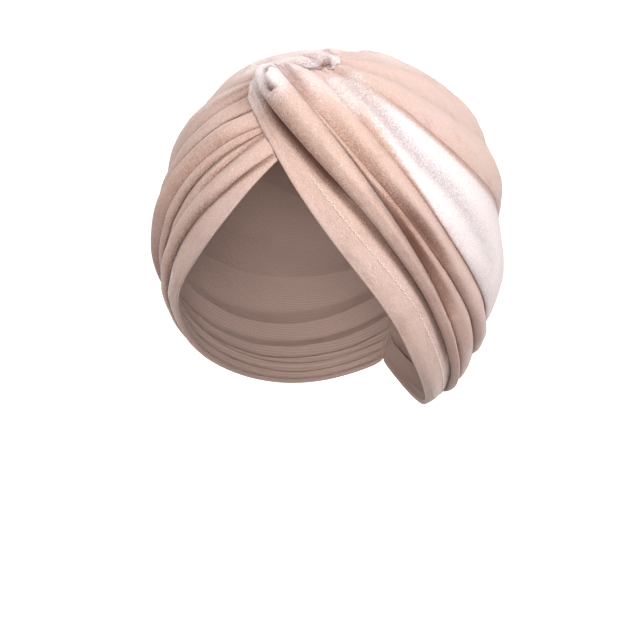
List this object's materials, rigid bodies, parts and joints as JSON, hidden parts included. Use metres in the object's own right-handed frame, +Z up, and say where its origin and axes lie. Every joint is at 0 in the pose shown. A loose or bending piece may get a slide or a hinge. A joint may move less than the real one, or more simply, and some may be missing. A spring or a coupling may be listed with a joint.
{
  "type": "twist-front turban cap",
  "caption": "Close-fitting stretch velvet head covering whose pleated side panels hook through each other in a twist above the forehead and open in an inverted V round the face.",
  "frame": {"origin": "inside of the crown, where the top of the wearer's head bears", "axes": "+Z up, the face opening towards -Y, the wearer's left at +X"},
  "size_m": [0.1633, 0.1943, 0.1809],
  "materials": {
    "velvet": "dusty rose beige stretch velvet with a bright sheen"
  },
  "bodies": {
    "root": {"left_panel": "velvet", "right_panel": "velvet"}
  },
  "joints": []
}
